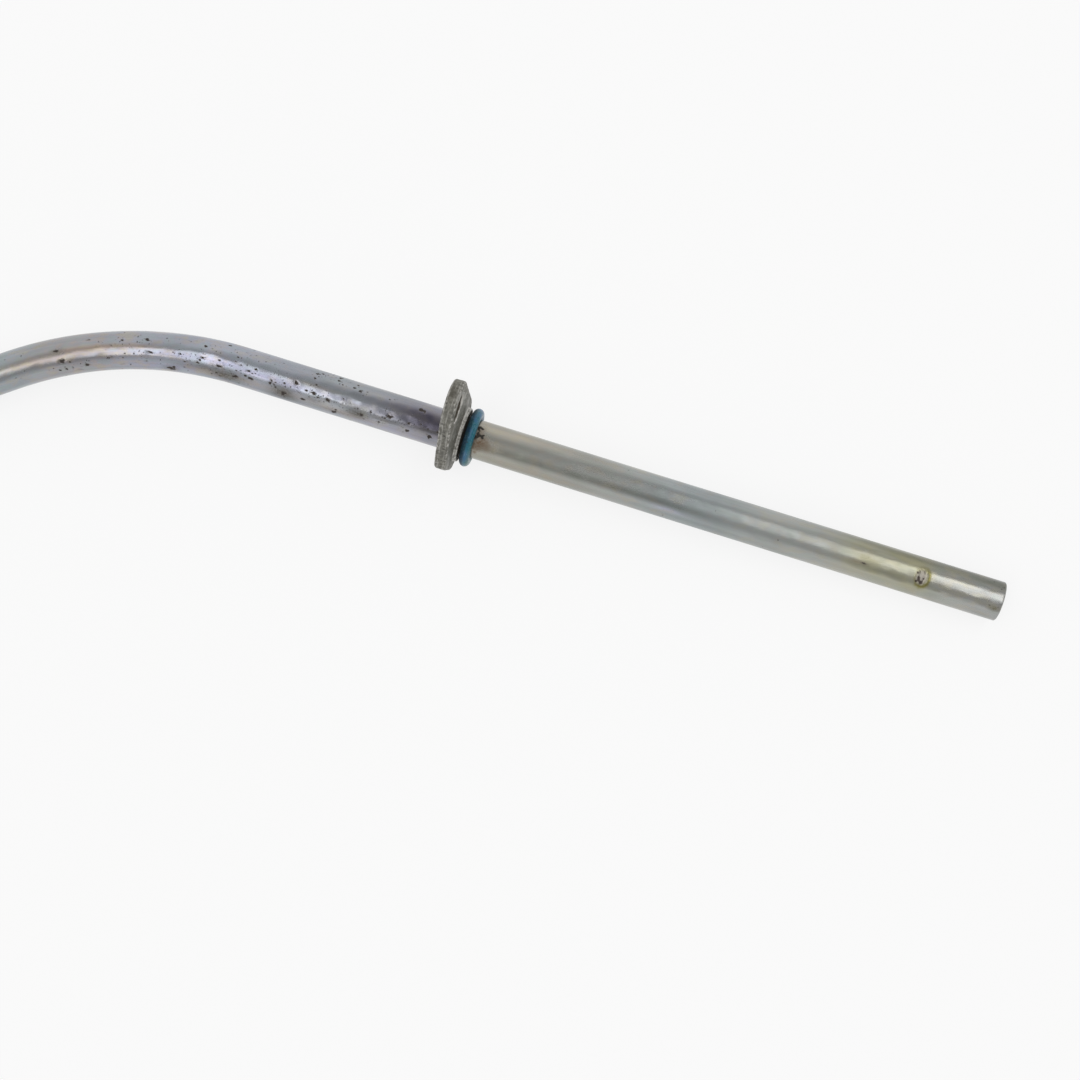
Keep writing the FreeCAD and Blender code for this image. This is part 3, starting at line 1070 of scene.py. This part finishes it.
    # Fine dark specks everywhere, crowded where the tube has rusted.
    rust_amount = attribute(tree, "rust")
    small = use_group(
        tree,
        specks,
        {
            "Vector": place,
            "Scale": 1.65,
            "Crowding": calc(
                tree, "MULTIPLY_ADD", rust_amount, 1.25, span(tree, parts[0], 0.0, -30.0, 0.003, 0.03)
            ),
            "Size": 0.42,
            "Raggedness": 0.9,
        },
    )
    middling = use_group(
        tree,
        specks,
        {
            "Vector": place,
            "Scale": 0.72,
            "Crowding": calc(tree, "MULTIPLY", rust_amount, 0.22),
            "Size": 0.36,
            "Raggedness": 1.3,
        },
    )
    pit = attribute(tree, "pit")
    pit_core = span(tree, calc(tree, "ADD", pit, calc(tree, "MULTIPLY", speckle[1], 0.5)), 0.68, 0.98)
    pit_halo = span(tree, pit, 0.02, 0.6)
    fine = calc(tree, "MULTIPLY", small[0], 0.8)
    rusty = calc(tree, "MAXIMUM", calc(tree, "MAXIMUM", fine, middling[0]), pit_core)

    smudge = attribute(tree, "smudge")
    smudge_soft = calc(
        tree, "MULTIPLY", smudge, blend(tree, 0.45, span(tree, speckle[1], 0.35, 0.6), 1.0)
    )
    grease_and_gap_shade = attribute(tree, "grease_and_gap_shade")
    clump = cloud((1.0, 1.0, 1.0), 1.9, 0.4, 0.6, 3.0)
    grease_and_gap_shade_mask = span(
        tree, calc(tree, "ADD", grease_and_gap_shade, calc(tree, "MULTIPLY", clump[1], 1.5)), 1.12, 1.38
    )
    # Darker plating from the patches above: painted shade of the flange on the tube beside it, in violet, and
    # painted darker bands of reflection along the lower run.
    dull_and_shade = attribute(tree, "dull_and_shade")
    dull_and_shade_soft = calc(tree, "MULTIPLY", dull_and_shade, blend(tree, 0.88, patchy[0], 1.0))
    violet = mix(
        tree, span(tree, parts[0], 1.0, -1.0), (0.43, 0.435, 0.385, 1), (0.30, 0.275, 0.325, 1)
    )
    base = mix(tree, dull_and_shade_soft, base, violet, "MULTIPLY")
    oil = mix(tree, span(tree, parts[0], -1.0, 1.0), rgba(finish.smudge), (0.125, 0.060, 0.017, 1))
    oil = mix(tree, span(tree, parts[0], 110.0, 130.0), oil, (0.095, 0.080, 0.022, 1))
    base = mix(tree, calc(tree, "MULTIPLY", smudge_soft, 0.95), base, oil)

    # The crater: pale ridged skin, and a yellow green ring of dried oil.
    skin = attribute(tree, "crater")
    rim = attribute(tree, "crater_rim")
    base = mix(tree, calc(tree, "MULTIPLY", skin, 0.6), base, (0.44, 0.395, 0.37, 1))
    base = mix(tree, calc(tree, "MULTIPLY", rim, 0.95), base, (0.20, 0.18, 0.045, 1))
    groove = span(tree, attribute(tree, "groove"), 0.1, 0.6)
    base = mix(tree, calc(tree, "MULTIPLY", groove, 0.92), base, (0.06, 0.045, 0.04, 1))
    bore = attribute(tree, "bore")
    base = mix(tree, calc(tree, "MULTIPLY", bore, 0.8), base, (0.10, 0.085, 0.065, 1))
    base = mix(tree, calc(tree, "MULTIPLY", pit_halo, 0.40), base, (0.16, 0.145, 0.125, 1))
    base = mix(tree, rusty, base, rgba(finish.rust))
    # Black for the dried grease strokes, and painted shade in the gap between the collar and the ring.
    base = mix(tree, grease_and_gap_shade_mask, base, (0.022, 0.018, 0.012, 1))

    dirt = calc(
        tree,
        "MAXIMUM",
        calc(tree, "MAXIMUM", rusty, grease_and_gap_shade_mask),
        calc(tree, "MULTIPLY", smudge_soft, 0.75),
    )
    metal = calc(tree, "SUBTRACT", 1.0, calc(tree, "MULTIPLY", dirt, 0.9), clamp=True)
    rough = blend(tree, broad[0], 0.17, 0.25)
    rough = calc(tree, "ADD", rough, calc(tree, "MULTIPLY", drawn[0], 0.05))
    rough = calc(tree, "ADD", rough, span(tree, parts[0], 50.0, 78.0, 0.0, 0.10))
    rough = calc(tree, "ADD", rough, span(tree, parts[0], 98.0, 106.0, 0.0, -0.03))
    rough = calc(tree, "ADD", rough, calc(tree, "MULTIPLY", yellow, 0.05))
    rough = calc(tree, "ADD", rough, calc(tree, "MULTIPLY", skin, 0.18))
    rough = calc(tree, "ADD", rough, calc(tree, "MULTIPLY", dirt, 0.45))

    relief = calc(tree, "ADD", calc(tree, "MULTIPLY", drawn[1], 0.30), calc(tree, "MULTIPLY", hair[1], 0.05))
    relief = calc(
        tree, "ADD", relief, calc(tree, "MULTIPLY", patchy[1], span(tree, parts[0], 45.0, 70.0, 0.45, 0.9))
    )
    calm = ramp(
        tree,
        spot,
        (
            (0.00, (0.45, 0.45, 0.45)),
            (0.32, (0.45, 0.45, 0.45)),
            (0.38, (1.00, 1.00, 1.00)),
            (0.58, (1.00, 1.00, 1.00)),
            (0.60, (0.35, 0.35, 0.35)),
            (0.71, (0.35, 0.35, 0.35)),
            (0.87, (0.50, 0.50, 0.50)),
            (0.90, (1.00, 1.00, 1.00)),
        ),
    )
    relief = calc(tree, "ADD", relief, calc(tree, "MULTIPLY", calc(tree, "MULTIPLY", wave[1], 9.0), calm))
    relief = calc(tree, "ADD", relief, calc(tree, "MULTIPLY", small[1], 0.9))
    relief = calc(tree, "ADD", relief, calc(tree, "MULTIPLY", middling[1], 1.3))
    relief = calc(tree, "ADD", relief, calc(tree, "MULTIPLY", calc(tree, "MULTIPLY", speckle[1], dirt), 0.9))
    bump = put(
        tree, "ShaderNodeBump", {"Height": relief, "Strength": 0.55, "Distance": 0.00006}
    )
    shader = put(
        tree,
        "ShaderNodeBsdfPrincipled",
        {
            "Base Color": base,
            "Metallic": metal,
            "Roughness": rough,
            "Normal": bump.outputs[0],
            "IOR": 1.5,
        },
    )
    tree.links.new(shader.outputs[0], end.inputs["Surface"])
    return material


def casting_material(finish, clouding, specks):
    material, tree, end = new_material("Dull cast steel")
    place = in_millimetres(tree)

    def cloud(stretch, scale, low, high, detail=3.0):
        return use_group(
            tree,
            clouding,
            {
                "Vector": place,
                "Stretch": stretch,
                "Scale": scale,
                "Detail": detail,
                "Low": low,
                "High": high,
            },
        )

    broad = cloud((1.0, 1.0, 1.0), 0.22, 0.35, 0.65)
    grain = cloud((1.0, 1.0, 1.0), 1.3, 0.38, 0.64, 5.0)
    scratch = cloud((1.5, 0.14, 0.14), 1.4, 0.50, 0.66, 3.0)
    pores = use_group(
        tree,
        specks,
        {"Vector": place, "Scale": 1.0, "Crowding": 0.5, "Size": 0.42, "Raggedness": 0.9},
    )
    # The worn layer: rubbed edges, and a painted highlight on the bolt hole's rim.
    worn = attribute(tree, "worn")
    worn_mask = calc(
        tree,
        "MULTIPLY",
        span(tree, calc(tree, "ADD", worn, calc(tree, "MULTIPLY", grain[1], 1.6)), 1.15, 1.75),
        span(tree, calc(tree, "ADD", worn, calc(tree, "MULTIPLY", broad[1], 0.8)), 0.45, 0.85),
    )
    base = mix(tree, calc(tree, "MULTIPLY", broad[0], 0.5), rgba(finish.cast_steel), (0.125, 0.125, 0.115, 1))
    base = mix(tree, calc(tree, "MULTIPLY", grain[0], 0.60), base, (0.27, 0.262, 0.228, 1))
    base = mix(tree, calc(tree, "MULTIPLY", scratch[0], 0.60), base, (0.46, 0.45, 0.42, 1))
    base = mix(tree, calc(tree, "MULTIPLY", pores[0], 0.65), base, (0.045, 0.041, 0.034, 1))
    # The smudge layer darkens the casting: smudges and rust, darker close round the tube, and painted shade
    # inside the bolt hole and on the collar's face toward the ring.
    smudge = attribute(tree, "smudge")
    base = mix(tree, calc(tree, "MULTIPLY", smudge, 0.70, clamp=True), base, (0.050, 0.039, 0.025, 1))
    base = mix(tree, calc(tree, "MULTIPLY", worn_mask, 0.8), base, rgba(finish.cast_worn))
    metal = blend(tree, worn_mask, 0.45, 0.6)
    rough = blend(tree, worn_mask, blend(tree, grain[0], 0.62, 0.5), 0.36)
    relief = calc(tree, "ADD", calc(tree, "MULTIPLY", grain[1], 1.1), calc(tree, "MULTIPLY", pores[1], 0.7))
    relief = calc(tree, "ADD", relief, calc(tree, "MULTIPLY", scratch[1], -0.35))
    bump = put(
        tree, "ShaderNodeBump", {"Height": relief, "Strength": 1.0, "Distance": 0.0002}
    )
    shader = put(
        tree,
        "ShaderNodeBsdfPrincipled",
        {
            "Base Color": base,
            "Metallic": metal,
            "Roughness": rough,
            "Normal": bump.outputs[0],
        },
    )
    tree.links.new(shader.outputs[0], end.inputs["Surface"])
    return material


def rubber_material(finish, clouding, specks):
    material, tree, end = new_material("Oily blue rubber")
    place = in_millimetres(tree)
    cloudy = use_group(
        tree,
        clouding,
        {
            "Vector": place,
            "Stretch": (1.0, 1.0, 1.0),
            "Scale": 0.42,
            "Detail": 3.0,
            "Low": 0.38,
            "High": 0.62,
        },
    )
    grain = use_group(
        tree,
        clouding,
        {
            "Vector": place,
            "Stretch": (2.5, 1.0, 1.0),
            "Scale": 2.4,
            "Detail": 4.0,
            "Low": 0.48,
            "High": 0.64,
        },
    )
    dirt = use_group(
        tree,
        specks,
        {"Vector": place, "Scale": 1.2, "Crowding": 0.16, "Size": 0.3, "Raggedness": 0.6},
    )
    smudge = attribute(tree, "smudge")
    worn = attribute(tree, "worn")
    base = mix(tree, calc(tree, "MULTIPLY", cloudy[0], 0.7), rgba(finish.rubber), (0.008, 0.10, 0.27, 1))
    base = mix(tree, calc(tree, "MULTIPLY", smudge, 0.65), base, (0.008, 0.105, 0.085, 1))
    # Painted shade: the flank toward the collar is darkened nearly black for the shadowed gap.
    painted_gap_shade = calc(tree, "MULTIPLY", attribute(tree, "painted_gap_shade"), blend(tree, 0.4, grain[1], 1.0))
    base = mix(tree, calc(tree, "MULTIPLY", painted_gap_shade, 0.92), base, (0.006, 0.008, 0.009, 1))
    scuff = calc(tree, "MULTIPLY", worn, grain[0])
    base = mix(tree, calc(tree, "MULTIPLY", scuff, 0.75), base, rgba(finish.rubber_worn))
    base = mix(tree, calc(tree, "MULTIPLY", dirt[0], 0.8), base, (0.012, 0.016, 0.02, 1))
    rough = blend(tree, cloudy[0], 0.26, 0.36)
    rough = calc(tree, "ADD", rough, calc(tree, "MULTIPLY", scuff, 0.3))
    rough = calc(tree, "ADD", rough, calc(tree, "MULTIPLY", painted_gap_shade, 0.45))
    relief = calc(tree, "ADD", calc(tree, "MULTIPLY", grain[1], 0.6), calc(tree, "MULTIPLY", dirt[1], 0.6))
    bump = put(
        tree, "ShaderNodeBump", {"Height": relief, "Strength": 0.5, "Distance": 0.00008}
    )
    shader = put(
        tree,
        "ShaderNodeBsdfPrincipled",
        {
            "Base Color": base,
            "Metallic": 0.0,
            "Roughness": rough,
            "Normal": bump.outputs[0],
            "Specular IOR Level": 0.4,
            "Coat Weight": calc(tree, "MULTIPLY", cloudy[0], 0.25),
            "Coat Roughness": 0.15,
            "IOR": 1.52,
        },
    )
    tree.links.new(shader.outputs[0], end.inputs["Surface"])
    return material


def seen_plainly(tree):
    """1 where the camera, a mirror or glass looks, so that it finds the plain backdrop."""
    path = put(tree, "ShaderNodeLightPath").outputs
    seen = calc(tree, "ADD", path["Is Camera Ray"], path["Is Glossy Ray"])
    return calc(tree, "ADD", seen, path["Is Transmission Ray"], clamp=True)


def floor_material(studio):
    material, tree, end = new_material("Pale studio floor")
    place = put(tree, "ShaderNodeTexCoord").outputs["Object"]
    mottle = put(tree, "ShaderNodeTexNoise", {"Vector": place, "Scale": 3.0, "Detail": 2.0})
    paint = mix(
        tree,
        span(tree, mottle.outputs[0], 0.3, 0.7, 0.0, 0.06),
        rgba(studio.floor),
        (0.86, 0.86, 0.86, 1),
    )
    matt = put(tree, "ShaderNodeBsdfDiffuse", {"Color": paint, "Roughness": 0.4})
    glow = put(tree, "ShaderNodeEmission", {"Color": (1, 1, 1, 1), "Strength": 1.0})
    both = put(
        tree,
        "ShaderNodeMixShader",
        {
            0: calc(tree, "MULTIPLY", seen_plainly(tree), 0.80),
            1: matt.outputs[0],
            2: glow.outputs[0],
        },
    )
    tree.links.new(both.outputs[0], end.inputs["Surface"])
    return material


def studio_world(studio):
    world = bpy.data.worlds.new("Soft studio")
    world.use_nodes = True
    tree = world.node_tree
    tree.nodes.clear()
    end = put(tree, "ShaderNodeOutputWorld")
    way = put(tree, "ShaderNodeTexCoord").outputs["Generated"]
    height = put(tree, "ShaderNodeSeparateXYZ", {0: way}).outputs[2]
    lean = put(
        tree, "ShaderNodeVectorMath", {0: way, 1: (0.75, -0.16, 0.0)}, operation="DOT_PRODUCT"
    )
    # White walls to well above the horizon, and a darker ceiling over the table.
    room = ramp(
        tree,
        calc(tree, "MULTIPLY", height, calc(tree, "ADD", lean.outputs["Value"], 0.9)),
        (
            (0.00, (1.0, 1.0, 1.0)),
            (0.32, (1.0, 1.0, 1.0)),
            (0.45, (0.84, 0.84, 0.84)),
            (0.58, (0.68, 0.68, 0.68)),
            (0.72, (0.50, 0.50, 0.50)),
            (0.81, (0.49, 0.49, 0.49)),
            (0.87, (0.60, 0.60, 0.60)),
            (0.96, (0.46, 0.46, 0.46)),
        ),
    )
    backdrop = put(tree, "ShaderNodeBackground", {"Color": room, "Strength": 1.0})
    ambient = put(
        tree, "ShaderNodeBackground", {"Color": (1, 1, 1, 1), "Strength": studio.ambient}
    )
    both = put(
        tree,
        "ShaderNodeMixShader",
        {0: seen_plainly(tree), 1: ambient.outputs[0], 2: backdrop.outputs[0]},
    )
    tree.links.new(both.outputs[0], end.inputs["Surface"])
    bpy.context.scene.world = world
    return world


def lamp(name, lean_x, lean_y, height, size, power):
    """A soft rectangular lamp over the table, leaning by two angles from straight above."""
    target = Vector((0.05, 0.01, 0.005))
    place = target + Vector(
        (
            height * math.tan(math.radians(lean_x)),
            height * math.tan(math.radians(lean_y)),
            height,
        )
    )
    light = bpy.data.lights.new(name, "AREA")
    light.shape = "RECTANGLE"
    light.size, light.size_y = size
    light.energy = power
    item = bpy.data.objects.new(name, light)
    back = (place - target).normalized()
    side = Vector((0, 1, 0)).cross(back).normalized()
    turn = Matrix((side, back.cross(side), back)).transposed().to_4x4()
    item.matrix_world = Matrix.Translation(place) @ turn
    bpy.context.scene.collection.objects.link(item)
    return item


def camera(studio):
    view = bpy.data.cameras.new("Camera")
    view.lens = studio.lens
    view.sensor_width = 36.0
    item = bpy.data.objects.new("Camera", view)
    right = Vector((0.95222994, 0.30217898, -0.0441136))
    up = Vector((-0.29388116, 0.94602707, 0.13662594))
    back = Vector((0.08301815, -0.11713515, 0.98964001))
    turn = Matrix((right, up, back)).transposed().to_4x4()
    item.matrix_world = Matrix.Translation((0.086160, -0.041510, 0.448405)) @ turn
    bpy.context.scene.collection.objects.link(item)
    bpy.context.scene.camera = item
    return item


# Operators


def shared_groups():
    groups = bpy.data.node_groups
    clouding = groups.get("Clouding") or clouding_group()
    specks = groups.get("Specks") or specks_group()
    return clouding, specks


class DIPSTICK_OT_guide_tube(bpy.types.Operator):
    """Draw, bend and plate the guide tube"""

    bl_idname = "dipstick.guide_tube"
    bl_label = "Guide Tube"

    def execute(self, context):
        settings = context.scene.dipstick_tube
        material = zinc_material(settings.finish, *shared_groups())
        tube_piece(settings.tube, material)
        return {"FINISHED"}


class DIPSTICK_OT_flange(bpy.types.Operator):
    """Cast the one-bolt flange round the tube"""

    bl_idname = "dipstick.flange"
    bl_label = "Flange"

    def execute(self, context):
        settings = context.scene.dipstick_tube
        material = casting_material(settings.finish, *shared_groups())
        flange_piece(settings.flange, settings.tube, material)
        return {"FINISHED"}


class DIPSTICK_OT_sealing_ring(bpy.types.Operator):
    """Mould the sealing ring onto the tube"""

    bl_idname = "dipstick.sealing_ring"
    bl_label = "Sealing Ring"

    def execute(self, context):
        settings = context.scene.dipstick_tube
        material = rubber_material(settings.finish, *shared_groups())
        ring_piece(settings.ring, settings.tube, material)
        return {"FINISHED"}


class DIPSTICK_OT_studio(bpy.types.Operator):
    """Set out the floor, the soft lamps and the camera"""

    bl_idname = "dipstick.studio"
    bl_label = "Studio"

    def execute(self, context):
        studio = context.scene.dipstick_tube.studio
        bm = bmesh.new()
        bmesh.ops.create_grid(bm, x_segments=4, y_segments=4, size=3.0)
        floor = finish_mesh(bm, "studio_floor")
        floor.data.materials.append(floor_material(studio))
        studio_world(studio)
        lamp("Right lamp", 18.5, 8.5, 2.0, (0.70, 1.90), studio.right_lamp)
        lamp("Left lamp", -15.5, -23.0, 2.0, (0.40, 1.95), studio.left_lamp)
        camera(studio)
        return {"FINISHED"}


class DIPSTICK_PT_panel(bpy.types.Panel):
    """Lists the tube's pieces and the sizes and colours that can be changed"""

    bl_idname = "DIPSTICK_PT_panel"
    bl_label = "Dipstick Tube"
    bl_space_type = "VIEW_3D"
    bl_region_type = "UI"
    bl_category = "Dipstick Tube"

    def draw(self, context):
        settings = context.scene.dipstick_tube
        for title, group, operator in (
            ("Studio", settings.studio, DIPSTICK_OT_studio),
            ("Guide tube", settings.tube, DIPSTICK_OT_guide_tube),
            ("Flange", settings.flange, DIPSTICK_OT_flange),
            ("Sealing ring", settings.ring, DIPSTICK_OT_sealing_ring),
            ("Finishes", settings.finish, None),
        ):
            box = self.layout.box()
            box.label(text=title)
            for name in group.bl_rna.properties.keys():
                if name not in {"rna_type", "name"}:
                    box.prop(group, name)
            if operator:
                box.operator(operator.bl_idname)


CLASSES = (
    TubeSizes,
    FlangeSizes,
    RingSizes,
    Finishes,
    StudioSettings,
    DipstickTubeSettings,
    DIPSTICK_OT_guide_tube,
    DIPSTICK_OT_flange,
    DIPSTICK_OT_sealing_ring,
    DIPSTICK_OT_studio,
    DIPSTICK_PT_panel,
)


def register():
    for item in CLASSES:
        bpy.utils.register_class(item)
    bpy.types.Scene.dipstick_tube = bpy.props.PointerProperty(type=DipstickTubeSettings)


def unregister():
    del bpy.types.Scene.dipstick_tube
    for item in reversed(CLASSES):
        bpy.utils.unregister_class(item)


def main():
    register()
    bpy.context.scene.view_settings.view_transform = "Standard"
    bpy.ops.dipstick.studio()
    bpy.ops.dipstick.guide_tube()
    bpy.ops.dipstick.flange()
    bpy.ops.dipstick.sealing_ring()


if __name__ == "__main__":
    main()
